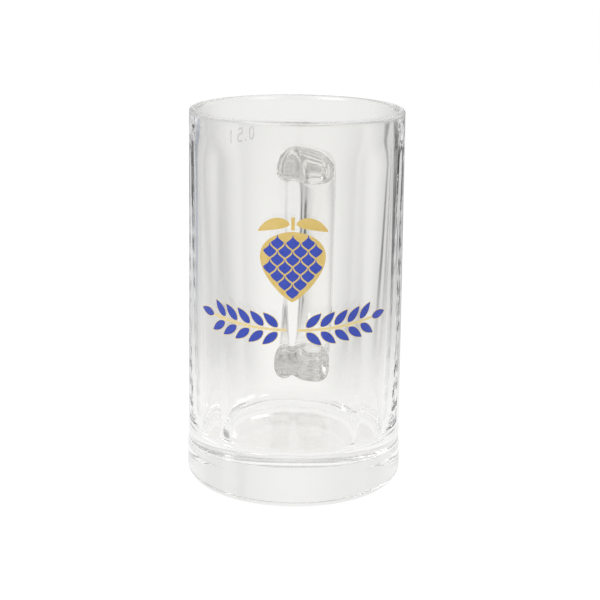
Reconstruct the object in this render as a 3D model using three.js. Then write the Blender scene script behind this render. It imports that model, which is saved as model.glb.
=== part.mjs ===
// Pressed glass beer mug: a heavy bowl that is round outside and fluted inside, an ear handle
// fused to its back, and fired enamel decoration on its wall.
// Millimetres and degrees, +Z up. The origin is on the bowl's axis, at table height.
// The handle points along +Y and the decoration faces -Y.
import * as THREE from 'three';

// Bowl, outside
const HEIGHT = 152;
const RIM_DIAMETER = 85;
const WALL_FOOT_DIAMETER = 86.6;
const FOOT_RING_STEP = 0.4;
const FOOT_RING_HEIGHT = 14;
const FOOT_RING_SLOPE = 4;
const FOOT_CORNER_RADIUS = 6;
const PUNT_DIAMETER = 66;
const PUNT_DEPTH = 0.4;
const PUNT_SLOPE = 20;

// Bowl, inside
const RIM_WALL = 3;
const BASE_THICKNESS = 19.5;
const FLOOR_FILLET_RADIUS = 4.5;
const FLUTE_COUNT = 8;
const FLUTE_TURN = 4;
const FLUTE_WALL_TOP = 3.5;
const FLUTE_WALL_FLOOR = 7.2;
const RIDGE_HEIGHT_TOP = 0.55;
const RIDGE_HEIGHT_FLOOR = 1.5;
const RIDGE_GROWTH = 6;
const RIM_BAND_HEIGHT = 8;
const ARCH_DEPTH = 19;

// Handle
const HANDLE_WIDTH = 22.5;
const GRIP_THICKNESS = 12;
const TOP_ARM_THICKNESS = 11.5;
const BOTTOM_ARM_THICKNESS = 15.5;
const FINGER_GAP = 28;
const TOP_ARM_HEIGHT = 119.5;
const TOP_ARM_SLOPE = 10;
const BOTTOM_ARM_HEIGHT = 34.5;
const ELBOW_RADIUS = 19;
const ROOT_FLARE = 0.8;
const ROOT_FLARE_LENGTH = 8;
const HANDLE_SEAT_GAP = 0.3;
const HANDLE_ROUNDNESS = 2.6;

// Enamel, common to all the decoration
const INK_GAP = 0.15;
const INK_THICKNESS = 0.2;
const STRIP_END_WIDTH = 0.4;

// Hop cone, on the front wall
const PRINT_TURN = 6;
const CONE_HEIGHT = 27;
const CONE_WIDTH = 25;
const CONE_WIDEST = 0.36;
const CONE_TIP_HEIGHT = 84;
const CONE_MARGIN = 0.9;
const BRACT_ROWS = [3, 4, 3, 4, 3, 2, 1];
const BRACT_GAP = 0.9;
const LEAF_LENGTH = 12;
const LEAF_WIDTH = 4.4;
const LEAF_DROOP = 3;
const LEAF_GAP = 0.6;
const STALK_LENGTH = 5;
const STALK_WIDTH = 1.4;

// Barley ears, one to each side below the cone
const EAR_HEIGHT = 73;
const EAR_LENGTH = 39;
const EAR_RISE = 2.5;
const EAR_INNER_GAP = 2;
const STEM_WIDTH = 1;
const GRAIN_PAIRS = 5;
const GRAIN_LENGTH = 7.4;
const GRAIN_ANGLE = 42;
const GRAIN_GAP = 0.5;
const FIRST_GRAIN = 3.5;

// Capacity mark, on the back wall beside the handle
const MARK_TURN = -134.5;
const MARK_BELOW_RIM = 20;
const FIGURE_HEIGHT = 4.4;
const FIGURE_WIDTH = 2.9;
const FIGURE_STROKE = 0.6;
const FIGURE_GAP = 1.4;

// Facets
const STEPS_PER_FLUTE = 8;
const BORE_STEPS = 6;
const ARCH_STEPS = 7;
const ARC_STEPS = 4;
const FLOOR_STEPS = 2;
const HANDLE_SIDES = 16;
const HANDLE_STATIONS = 32;
const SEAT_RINGS = 2;

const rimRadius = RIM_DIAMETER / 2;
const wallFootRadius = WALL_FOOT_DIAMETER / 2;
const footRadius = wallFootRadius + FOOT_RING_STEP;
const { degToRad, clamp, lerp, smoothstep } = THREE.MathUtils;

const glass = new THREE.MeshStandardMaterial({
  color: 0xf2f6f4,
  roughness: 0.03,
  metalness: 0,
  transparent: true,
  opacity: 0.35,
});
const blueEnamel = new THREE.MeshStandardMaterial({ color: 0x2c47b4, roughness: 0.35, metalness: 0 });
const goldEnamel = new THREE.MeshStandardMaterial({ color: 0xd6b75f, roughness: 0.4, metalness: 0 });
const frostEnamel = new THREE.MeshStandardMaterial({ color: 0xc4c8c6, roughness: 0.7, metalness: 0 });

// Outside radius of the wall at a height, with the foot ring standing a little proud.
function wallRadius(z) {
  const straight = lerp(wallFootRadius, rimRadius, z / HEIGHT);
  const ring = 1 - smoothstep(z, FOOT_RING_HEIGHT, FOOT_RING_HEIGHT + FOOT_RING_SLOPE);
  return straight + FOOT_RING_STEP * ring;
}

// A point at a radius and height, at an angle counted from the front (-Y) towards +X.
function around(radius, angle, z) {
  return new THREE.Vector3(radius * Math.sin(angle), -radius * Math.cos(angle), z);
}

// Closed solid through rings of equal point count, each turning to the left about the way onward.
function loft(rings, isLoop = false) {
  const count = rings[0].length;
  const points = rings.flat();
  const faces = [];
  const spans = isLoop ? rings.length : rings.length - 1;
  for (let i = 0; i < spans; i += 1) {
    const here = i * count;
    const next = ((i + 1) % rings.length) * count;
    for (let j = 0; j < count; j += 1) {
      const k = (j + 1) % count;
      faces.push(here + j, here + k, next + k, here + j, next + k, next + j);
    }
  }
  if (!isLoop) {
    const last = (rings.length - 1) * count;
    const start = points.push(middle(rings[0])) - 1;
    const end = points.push(middle(rings[rings.length - 1])) - 1;
    for (let j = 0; j < count; j += 1) {
      const k = (j + 1) % count;
      faces.push(start, k, j, end, last + j, last + k);
    }
  }
  const geometry = new THREE.BufferGeometry().setFromPoints(points);
  geometry.setIndex(faces);
  geometry.computeVertexNormals();
  return geometry;
}

function middle(ring) {
  const sum = ring.reduce((total, point) => total.add(point), new THREE.Vector3());
  return sum.divideScalar(ring.length);
}

function named(name, geometry, material) {
  const mesh = new THREE.Mesh(geometry, material);
  mesh.name = name;
  return mesh;
}

// Inside radius of the bowl. The wall thickens fast under the rim and slowly below it, and the
// ridges between the flutes fade in below the rim, which leaves an arch over each flute.
function boreRadius(angle, z) {
  const half = Math.PI / FLUTE_COUNT;
  const fromRidge = angle - degToRad(FLUTE_TURN);
  const local = THREE.MathUtils.euclideanModulo(fromRidge, 2 * half) - half;
  const flank = Math.abs(local) / half;
  const floorStart = BASE_THICKNESS + FLOOR_FILLET_RADIUS;
  const depth = HEIGHT - Math.max(z, floorStart);
  const down = depth / (HEIGHT - floorStart);
  const still = 1 - Math.min(depth / ARCH_DEPTH, 1);
  const upperWall = lerp(FLUTE_WALL_TOP, RIM_WALL, still ** 2);
  const wall = upperWall + down * (FLUTE_WALL_FLOOR - FLUTE_WALL_TOP);
  const fade = smoothstep(depth, RIM_BAND_HEIGHT, ARCH_DEPTH);
  const height = lerp(RIDGE_HEIGHT_TOP, RIDGE_HEIGHT_FLOOR, down ** RIDGE_GROWTH);
  const ridge = fade * height * flank ** 2;
  return wallRadius(z) - wall - ridge;
}

function bowlRing(radiusAt, z) {
  const count = FLUTE_COUNT * STEPS_PER_FLUTE;
  return Array.from({ length: count }, (_, i) => {
    const angle = degToRad(FLUTE_TURN) + (i * 2 * Math.PI) / count;
    return around(radiusAt(angle), angle, z);
  });
}

function bowlGeometry() {
  const rings = [];
  const round = (radius, z) => rings.push(bowlRing(() => radius, z));
  const quarter = Math.PI / 2;

  // Underside: a shallow flat punt inside the bearing ring.
  const puntRadius = PUNT_DIAMETER / 2;
  round((puntRadius - PUNT_SLOPE) / 2, PUNT_DEPTH);
  round(puntRadius - PUNT_SLOPE, PUNT_DEPTH);
  round(puntRadius, 0);

  // Rounded foot corner, foot ring and straight wall.
  const cornerRadius = wallRadius(FOOT_CORNER_RADIUS) - FOOT_CORNER_RADIUS;
  for (let i = 0; i <= ARC_STEPS; i += 1) {
    const turn = (quarter * i) / ARC_STEPS;
    const radius = cornerRadius + FOOT_CORNER_RADIUS * Math.sin(turn);
    round(radius, FOOT_CORNER_RADIUS * (1 - Math.cos(turn)));
  }
  round(wallRadius(FOOT_RING_HEIGHT), FOOT_RING_HEIGHT);
  const wallStart = FOOT_RING_HEIGHT + FOOT_RING_SLOPE;
  const lip = RIM_WALL / 2;
  round(wallRadius(wallStart), wallStart);
  round(wallRadius(HEIGHT - lip), HEIGHT - lip);

  // Rounded drinking edge.
  for (let i = 1; i < 2 * ARC_STEPS; i += 1) {
    const turn = (quarter * i) / ARC_STEPS;
    round(rimRadius - lip + lip * Math.cos(turn), HEIGHT - lip + lip * Math.sin(turn));
  }

  // Bore, from the rim band through the arches down the flutes.
  const archFoot = HEIGHT - ARCH_DEPTH;
  const floorStart = BASE_THICKNESS + FLOOR_FILLET_RADIUS;
  const bore = (z) => rings.push(bowlRing((angle) => boreRadius(angle, z), z));
  bore(HEIGHT - lip);
  for (let i = 0; i <= ARCH_STEPS; i += 1) {
    bore(lerp(HEIGHT - RIM_BAND_HEIGHT, archFoot, i / ARCH_STEPS));
  }
  for (let i = 1; i <= BORE_STEPS; i += 1) {
    bore(lerp(archFoot, floorStart, i / BORE_STEPS));
  }

  // Filleted floor, which keeps the lobed outline of the flutes.
  const atFloor = (inset) => (angle) => boreRadius(angle, floorStart) - inset;
  for (let i = 1; i <= ARC_STEPS; i += 1) {
    const turn = (quarter * i) / ARC_STEPS;
    const inset = FLOOR_FILLET_RADIUS * (1 - Math.cos(turn));
    rings.push(bowlRing(atFloor(inset), floorStart - FLOOR_FILLET_RADIUS * Math.sin(turn)));
  }
  for (let i = 1; i < FLOOR_STEPS; i += 1) {
    const share = 1 - i / FLOOR_STEPS;
    const edge = atFloor(FLOOR_FILLET_RADIUS);
    rings.push(bowlRing((angle) => share * edge(angle), BASE_THICKNESS));
  }
  return loft(rings);
}

// Handle centre line in the plane X = 0, as distance from the axis and height.
function handlePath() {
  const gripReach = wallFootRadius + FINGER_GAP + GRIP_THICKNESS / 2;
  const elbowReach = gripReach - ELBOW_RADIUS;
  const quarter = Math.PI / 2;
  const slope = degToRad(TOP_ARM_SLOPE);
  const rootReach = wallRadius(TOP_ARM_HEIGHT) + HANDLE_SEAT_GAP;
  const bendReach = elbowReach + ELBOW_RADIUS * Math.sin(slope);
  const bendHeight = TOP_ARM_HEIGHT - (bendReach - rootReach) * Math.tan(slope);
  const path = new THREE.Path();
  path.moveTo(rootReach, TOP_ARM_HEIGHT);
  path.lineTo(bendReach, bendHeight);
  path.absarc(elbowReach, bendHeight - ELBOW_RADIUS * Math.cos(slope), ELBOW_RADIUS, quarter - slope, 0, true);
  path.lineTo(gripReach, BOTTOM_ARM_HEIGHT + ELBOW_RADIUS);
  path.absarc(elbowReach, BOTTOM_ARM_HEIGHT + ELBOW_RADIUS, ELBOW_RADIUS, 0, -quarter, true);
  path.lineTo(wallRadius(BOTTOM_ARM_HEIGHT) + HANDLE_SEAT_GAP, BOTTOM_ARM_HEIGHT);
  return path;
}

// Section of the handle as pairs of half-width and half-thickness shares: a rounded oblong.
function oblong(side) {
  const turn = (side * 2 * Math.PI) / HANDLE_SIDES;
  const power = 2 / HANDLE_ROUNDNESS;
  const across = Math.sign(Math.cos(turn)) * Math.abs(Math.cos(turn)) ** power;
  const through = Math.sign(Math.sin(turn)) * Math.abs(Math.sin(turn)) ** power;
  return { across, through };
}

// Thickness along the handle: each arm tapers to the grip over its half.
function armThickness(share) {
  const arm = share < 0.5 ? TOP_ARM_THICKNESS : BOTTOM_ARM_THICKNESS;
  return lerp(arm, GRIP_THICKNESS, smoothstep(0.5 - Math.abs(share - 0.5), 0, 0.3));
}

function handleGeometry() {
  const path = handlePath();
  const length = path.getLength();
  const sides = Array.from({ length: HANDLE_SIDES }, (_, side) => oblong(side));
  const rings = [];

  const section = (share, scale) => {
    const centre = path.getPointAt(share);
    const onward = path.getTangentAt(share);
    const fromRoot = length * Math.min(share, 1 - share);
    const flare = ROOT_FLARE * (1 - smoothstep(fromRoot, 0, ROOT_FLARE_LENGTH));
    const halfWidth = HANDLE_WIDTH / 2 + flare;
    const halfThickness = armThickness(share) / 2 + flare;
    return sides.map(({ across, through }) => {
      const x = scale * across * halfWidth;
      const rise = scale * through * halfThickness;
      return new THREE.Vector3(x, centre.x + onward.y * rise, centre.y - onward.x * rise);
    });
  };

  // Each root ends on the wall's own curve, a seat gap away from it.
  const seat = (share, scale) => section(share, scale).map(({ x, z }) => {
    const radius = wallRadius(z) + HANDLE_SEAT_GAP;
    return new THREE.Vector3(x, Math.sqrt(radius ** 2 - x ** 2), z);
  });

  for (let i = 1; i <= SEAT_RINGS; i += 1) {
    rings.push(seat(0, i / SEAT_RINGS));
  }
  for (let i = 1; i < HANDLE_STATIONS; i += 1) {
    rings.push(section(i / HANDLE_STATIONS, 1));
  }
  for (let i = SEAT_RINGS; i >= 1; i -= 1) {
    rings.push(seat(1, i / SEAT_RINGS));
  }
  return loft(rings);
}

// Enamel strip laid on the wall. Its path runs in the unrolled wall, as distance round the wall
// from the motif's centre line and height; turn places that centre line round the bowl.
function inkStrip(path, halfWidth, { turn, steps, columns = 1, layer = 0, isLoop = false }) {
  const lift = INK_GAP + layer * (INK_THICKNESS + INK_GAP);
  const wrap = (point, rise) => {
    const angle = degToRad(turn) + point.x / rimRadius;
    return around(wallRadius(point.y) + lift + rise, angle, point.y);
  };
  const count = isLoop ? steps : steps + 1;
  const rings = Array.from({ length: count }, (_, i) => {
    const share = isLoop ? i / steps : (1 - Math.cos((Math.PI * i) / steps)) / 2;
    const centre = path.getPointAt(share);
    const onward = path.getTangentAt(share);
    const left = new THREE.Vector2(-onward.y, onward.x);
    const row = Array.from({ length: columns + 1 }, (__, j) => {
      const offset = (1 - (2 * j) / columns) * halfWidth(share);
      return centre.clone().addScaledVector(left, offset);
    });
    const outer = row.map((point) => wrap(point, INK_THICKNESS));
    const inner = row.map((point) => wrap(point, 0)).reverse();
    return [...outer, ...inner];
  });
  return loft(rings, isLoop);
}

// Half-width of a leaf-shaped strip, blunt at both ends and widest at the given share.
function leafShape(width, widest) {
  return (share) => {
    const bend = Math.log(0.5) / Math.log(widest);
    const swell = Math.sin(Math.PI * share ** bend) ** 0.75;
    return Math.max(STRIP_END_WIDTH, width * swell) / 2;
  };
}

// Half-width of a bract: hollow sides from its upper tip, full sides down to its lower tip.
function bractShape(width) {
  return (share) => {
    const bow = Math.cos(Math.PI * (share < 0.5 ? share : share - 0.5));
    const swell = share < 0.5 ? 1 - bow : bow;
    return Math.max(STRIP_END_WIDTH, width * swell) / 2;
  };
}

function straight(x0, y0, x1, y1) {
  return new THREE.LineCurve(new THREE.Vector2(x0, y0), new THREE.Vector2(x1, y1));
}

// Hop cone: a gold ground with rows of blue bracts on it, a stalk and two leaves.
function hopCone() {
  const cone = new THREE.Group();
  const top = CONE_TIP_HEIGHT + CONE_HEIGHT;
  const ground = straight(0, top, 0, CONE_TIP_HEIGHT);
  const groundShape = leafShape(CONE_WIDTH, CONE_WIDEST);
  const groundStrip = inkStrip(ground, groundShape, { turn: PRINT_TURN, steps: 14, columns: 8 });
  cone.add(named('hop_cone_ground', groundStrip, goldEnamel));

  // The bracts interlock: each row's lower halves fill between the upper halves of the next row.
  const rowPitch = (CONE_HEIGHT - 2 * CONE_MARGIN) / (BRACT_ROWS.length + 1);
  const pitch = (CONE_WIDTH - 2 * CONE_MARGIN) / Math.max(...BRACT_ROWS);
  BRACT_ROWS.forEach((count, row) => {
    const rowMiddle = top - CONE_MARGIN - (row + 1) * rowPitch;
    const reach = rowPitch - BRACT_GAP / 2;
    for (let i = 0; i < count; i += 1) {
      const x = (i - (count - 1) / 2) * pitch;
      const spine = straight(x, rowMiddle + reach, x, rowMiddle - reach);
      const strip = inkStrip(spine, bractShape(pitch - BRACT_GAP), {
        turn: PRINT_TURN,
        steps: 6,
        columns: 2,
        layer: 1,
      });
      cone.add(named(`hop_bract_${row + 1}_${i + 1}`, strip, blueEnamel));
    }
  });

  const stalk = straight(0, top + LEAF_GAP, 0, top + LEAF_GAP + STALK_LENGTH);
  const stalkStrip = inkStrip(stalk, () => STALK_WIDTH / 2, { turn: PRINT_TURN, steps: 2 });
  cone.add(named('hop_stalk', stalkStrip, goldEnamel));
  [['left', -1], ['right', 1]].forEach(([side, sign]) => {
    const rootX = sign * (STALK_WIDTH / 2 + LEAF_GAP);
    const root = new THREE.Vector2(rootX, top + LEAF_GAP + LEAF_WIDTH / 2);
    const bend = new THREE.Vector2(rootX + (sign * LEAF_LENGTH) / 2, root.y + LEAF_DROOP / 2);
    const tip = new THREE.Vector2(rootX + sign * LEAF_LENGTH, root.y - LEAF_DROOP);
    const spine = new THREE.QuadraticBezierCurve(root, bend, tip);
    const strip = inkStrip(spine, leafShape(LEAF_WIDTH, 0.4), {
      turn: PRINT_TURN,
      steps: 8,
      columns: 2,
    });
    cone.add(named(`hop_leaf_${side}`, strip, goldEnamel));
  });
  return cone;
}

// Barley ear: a gold stem that rises a little outwards, with blue grains in pairs and one at its tip.
function barleyEar(side, sign) {
  const ear = new THREE.Group();
  const stemLength = EAR_LENGTH - GRAIN_LENGTH - GRAIN_GAP;
  const start = new THREE.Vector2(sign * EAR_INNER_GAP, EAR_HEIGHT);
  const bend = new THREE.Vector2(sign * (EAR_INNER_GAP + stemLength / 2), EAR_HEIGHT);
  const end = new THREE.Vector2(sign * (EAR_INNER_GAP + stemLength), EAR_HEIGHT + EAR_RISE);
  const spine = new THREE.QuadraticBezierCurve(start, bend, end);
  const stem = inkStrip(spine, () => STEM_WIDTH / 2, { turn: PRINT_TURN, steps: 14 });
  ear.add(named(`barley_stem_${side}`, stem, goldEnamel));

  const pitch = (stemLength - FIRST_GRAIN) / GRAIN_PAIRS;
  const grainWidth = pitch * Math.sin(degToRad(GRAIN_ANGLE)) - GRAIN_GAP;
  const grain = (name, root, onward) => {
    const tip = root.clone().addScaledVector(onward, GRAIN_LENGTH);
    const strip = inkStrip(new THREE.LineCurve(root, tip), leafShape(grainWidth, 0.42), {
      turn: PRINT_TURN,
      steps: 6,
    });
    ear.add(named(`barley_grain_${side}_${name}`, strip, blueEnamel));
  };

  const clear = STEM_WIDTH / 2 + GRAIN_GAP + STRIP_END_WIDTH / 2;
  for (let i = 0; i < GRAIN_PAIRS; i += 1) {
    const reach = (FIRST_GRAIN + i * pitch) / stemLength;
    const point = spine.getPointAt(reach);
    const onward = spine.getTangentAt(reach);
    [['upper', 1], ['lower', -1]].forEach(([row, up]) => {
      const outward = new THREE.Vector2(-onward.y, onward.x).multiplyScalar(sign * up);
      const root = point.clone().addScaledVector(outward, clear);
      const lean = onward.clone().rotateAround(new THREE.Vector2(), sign * up * degToRad(GRAIN_ANGLE));
      grain(`${row}_${i + 1}`, root, lean);
    });
  }
  const tipward = spine.getTangentAt(1);
  grain('tip', end.clone().addScaledVector(tipward, GRAIN_GAP), tipward);
  return ear;
}

// Capacity mark: the half-litre figures, read from outside.
function capacityMark() {
  const mark = new THREE.Group();
  const middleHeight = HEIGHT - MARK_BELOW_RIM;
  const rx = (FIGURE_WIDTH - FIGURE_STROKE) / 2;
  const ry = (FIGURE_HEIGHT - FIGURE_STROKE) / 2;
  const step = FIGURE_WIDTH + FIGURE_GAP;
  const place = { turn: MARK_TURN };
  const stroke = () => FIGURE_STROKE / 2;
  const add = (name, path, width, options) => {
    mark.add(named(name, inkStrip(path, width, { ...place, ...options }), frostEnamel));
  };

  const zeroX = -1.5 * step;
  const zero = new THREE.EllipseCurve(zeroX, middleHeight, rx, ry);
  add('capacity_figure_0', zero, stroke, { steps: 16, isLoop: true });

  const pointX = -0.75 * step;
  const low = middleHeight - FIGURE_HEIGHT / 2;
  const point = straight(pointX, low, pointX, low + FIGURE_STROKE);
  add('capacity_point', point, stroke, { steps: 1 });

  const fiveBowl = ry * 0.62;
  const five = new THREE.Path();
  five.moveTo(rx, middleHeight + ry);
  five.lineTo(-rx, middleHeight + ry);
  five.lineTo(-rx, middleHeight - ry + 2 * fiveBowl);
  five.lineTo(rx - fiveBowl, middleHeight - ry + 2 * fiveBowl);
  five.absarc(rx - fiveBowl, middleHeight - ry + fiveBowl, fiveBowl, Math.PI / 2, -Math.PI / 2, true);
  five.lineTo(-rx, middleHeight - ry);
  add('capacity_figure_5', five, stroke, { steps: 28 });

  const litreX = 1.25 * step;
  const litre = straight(litreX, low, litreX, low + FIGURE_HEIGHT);
  add('capacity_litre', litre, stroke, { steps: 2 });
  return mark;
}

const mug = new THREE.Group();
mug.add(named('glass_bowl', bowlGeometry(), glass));
mug.add(named('handle', handleGeometry(), glass));
mug.add(hopCone());
mug.add(barleyEar('left', -1));
mug.add(barleyEar('right', 1));
mug.add(capacityMark());

export default mug;
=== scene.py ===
import math

import bmesh
import bpy
from mathutils import Matrix, Vector


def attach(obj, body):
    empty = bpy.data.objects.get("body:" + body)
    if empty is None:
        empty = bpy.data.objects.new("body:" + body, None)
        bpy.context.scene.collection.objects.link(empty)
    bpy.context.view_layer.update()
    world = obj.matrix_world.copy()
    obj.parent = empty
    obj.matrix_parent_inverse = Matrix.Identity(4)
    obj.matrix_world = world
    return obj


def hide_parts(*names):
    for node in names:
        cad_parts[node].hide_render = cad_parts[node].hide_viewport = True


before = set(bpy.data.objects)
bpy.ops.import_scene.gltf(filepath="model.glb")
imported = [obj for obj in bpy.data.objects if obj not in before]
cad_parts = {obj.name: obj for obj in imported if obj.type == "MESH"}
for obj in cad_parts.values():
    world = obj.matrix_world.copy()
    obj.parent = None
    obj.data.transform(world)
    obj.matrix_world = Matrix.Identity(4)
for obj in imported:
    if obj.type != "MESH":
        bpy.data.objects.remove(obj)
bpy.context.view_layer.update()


# Bowl. One gob of soda-lime glass, pressed in a mould: the mould leaves the outside round and smooth,
# and the plunger leaves eight shallow flutes inside, which run out in arches below the rim.
# The drinking edge is fire-polished afterwards, and the thick base stands on a ring.
mm = 0.001
bowl_height = 152.0 * mm
rim_radius, wall_foot_radius = 42.5 * mm, 43.3 * mm
rim_wall, wall_at_arches, wall_at_floor = 3.0 * mm, 3.5 * mm, 7.2 * mm
lip_radius = rim_wall / 2
base_thickness, floor_fillet = 19.5 * mm, 4.5 * mm
floor_start = base_thickness + floor_fillet
foot_ring = {"step": 0.4 * mm, "height": 14.0 * mm, "slope": 4.0 * mm, "corner": 6.0 * mm}
punt = {"radius": 33.0 * mm, "depth": 0.4 * mm, "slope": 20.0 * mm, "edge": 1.0 * mm}
flute_count, flute_turn = 8, math.radians(4.0)
rim_band, arch_depth = 8.0 * mm, 19.0 * mm
ridge_height = {"arches": 0.55 * mm, "floor": 1.5 * mm}
ridge_growth, ridge_spread, ridge_softness = 6.0, 1.0, 0.045
fine_bore = 32.0 * mm
steps_per_flute = 48
section_steps = {
    "punt": 10, "punt slope": 17, "foot": 5, "foot corner": 17, "foot ring": 6, "foot slope": 9, "wall": 12,
    "lip": 25, "fine bore": 62, "bore": 40, "floor fillet": 15, "floor": 13}
weld_distance = 0.001 * mm


def smooth_step(low, high, value):
    share = min(max((value - low) / (high - low), 0.0), 1.0)
    return share * share * (3.0 - 2.0 * share)


def wall_radius(z):
    straight = wall_foot_radius + (rim_radius - wall_foot_radius) * z / bowl_height
    proud = 1.0 - smooth_step(foot_ring["height"], foot_ring["height"] + foot_ring["slope"], z)
    return straight + foot_ring["step"] * proud


def spread(first, last, count):
    return [first + (last - first) * i / (count - 1) for i in range(count)]


def outer_section():
    """Radius and height from the middle of the underside, up the wall and over the lip."""
    rows = [(r, punt["depth"]) for r in spread(0.0, punt["radius"] - punt["slope"], section_steps["punt"])]
    for share in spread(0.0, 1.0, section_steps["punt slope"])[1:]:
        z = punt["depth"] * (1.0 - smooth_step(0.0, 1.0, share))
        rows.append((punt["radius"] - punt["slope"] * (1.0 - share), z))
    corner = foot_ring["corner"]
    inner = wall_radius(corner) - corner
    rows += [(r, 0.0) for r in spread(punt["radius"] + punt["edge"], inner, section_steps["foot"])]
    for turn in spread(0.0, math.pi / 2, section_steps["foot corner"])[1:]:
        rows.append((inner + corner * math.sin(turn), corner * (1.0 - math.cos(turn))))
    slope_end = foot_ring["height"] + foot_ring["slope"]
    heights = spread(corner, foot_ring["height"], section_steps["foot ring"])[1:]
    heights += spread(foot_ring["height"], slope_end, section_steps["foot slope"])[1:]
    heights += spread(slope_end, bowl_height - lip_radius, section_steps["wall"])[1:]
    rows += [(wall_radius(z), z) for z in heights]
    for turn in spread(0.0, math.pi, section_steps["lip"])[1:-1]:
        out = rim_radius - lip_radius + lip_radius * math.cos(turn)
        rows.append((out, bowl_height - lip_radius + lip_radius * math.sin(turn)))
    return rows


def bore_section():
    """Height, inset of the fillet and share of the floor's radius, from the lip to the floor's middle."""
    fine_end = bowl_height - fine_bore
    heights = spread(bowl_height - lip_radius, fine_end, section_steps["fine bore"])
    heights += spread(fine_end, floor_start, section_steps["bore"])[1:]
    rows = [(z, 0.0, 1.0) for z in heights]
    for turn in spread(0.0, math.pi / 2, section_steps["floor fillet"])[1:]:
        rows.append((floor_start - floor_fillet * math.sin(turn), floor_fillet * (1.0 - math.cos(turn)), 1.0))
    rows += [(base_thickness, floor_fillet, share) for share in spread(1.0, 0.0, section_steps["floor"])[1:]]
    return rows


def half_section(name):
    """Outline of half the bowl as a line of points; on the bore the tree works out the radius."""
    rows = [(r, z, 0.0, 0.0, 1.0) for r, z in outer_section()]
    rows += [(0.0, z, 1.0, inset, share) for z, inset, share in bore_section()]
    mesh = bpy.data.meshes.new(name)
    edges = [(i, i + 1) for i in range(len(rows) - 1)]
    mesh.from_pydata([(r, 0.0, z) for r, z, *_ in rows], edges, [])
    for column, label in enumerate(("bore", "inset", "share"), start=2):
        values = mesh.attributes.new(label, "FLOAT", "POINT")
        values.data.foreach_set("value", [row[column] for row in rows])
    return mesh


def feed(tree, socket, value):
    """Link a socket to the one that feeds it, or set it to a number, a vector, a colour or a material."""
    if isinstance(value, bpy.types.NodeSocket):
        tree.links.new(value, socket)
    else:
        socket.default_value = value


def node(tree, kind, *values, **settings):
    """Add a node to a tree and feed its inputs in order; None leaves an input as it is."""
    made = tree.nodes.new(kind)
    for key, value in settings.items():
        setattr(made, key, value)
    free = [socket for socket in made.inputs if socket.enabled]
    for socket, value in zip(free, values):
        if value is not None:
            feed(tree, socket, value)
    return made


def calc(tree, operation, *values):
    return node(tree, "ShaderNodeMath", *values, operation=operation).outputs[0]


def split(tree, vector):
    return node(tree, "ShaderNodeSeparateXYZ", vector).outputs


def combine(tree, x, y, z):
    return node(tree, "ShaderNodeCombineXYZ", x, y, z).outputs[0]


def position(tree):
    return node(tree, "GeometryNodeInputPosition").outputs[0]


def mapped(tree, value, start, end, first=0.0, last=1.0, kind="LINEAR"):
    """Take a value from the range start to end into the range first to last."""
    made = node(tree, "ShaderNodeMapRange", value, start, end, first, last, interpolation_type=kind)
    return made.outputs[0]


def eased(tree, value, start, end, first=0.0, last=1.0):
    return mapped(tree, value, start, end, first, last, "SMOOTHSTEP")


def at_bearing(tree, reach, bearing, z):
    """Point at a distance from the axis; the bearing runs from the front, to the right positive."""
    x = calc(tree, "MULTIPLY", reach, calc(tree, "SINE", bearing))
    y = calc(tree, "MULTIPLY", reach, calc(tree, "MULTIPLY", calc(tree, "COSINE", bearing), -1.0))
    return combine(tree, x, y, z)


def new_group(name, kind, inputs, outputs):
    """Node tree with named inputs and outputs; gives the tree and the sockets of its input node."""
    tree = bpy.data.node_groups.new(name, kind)
    for in_out, sockets in (("INPUT", inputs), ("OUTPUT", outputs)):
        for label, socket_kind in sockets.items():
            tree.interface.new_socket(label, in_out=in_out, socket_type="NodeSocket" + socket_kind)
    return tree, tree.nodes.new("NodeGroupInput").outputs


def new_tree(name, inputs):
    geometry = {"Geometry": "Geometry"}
    return new_group(name, "GeometryNodeTree", {**geometry, **inputs}, geometry)


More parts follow.
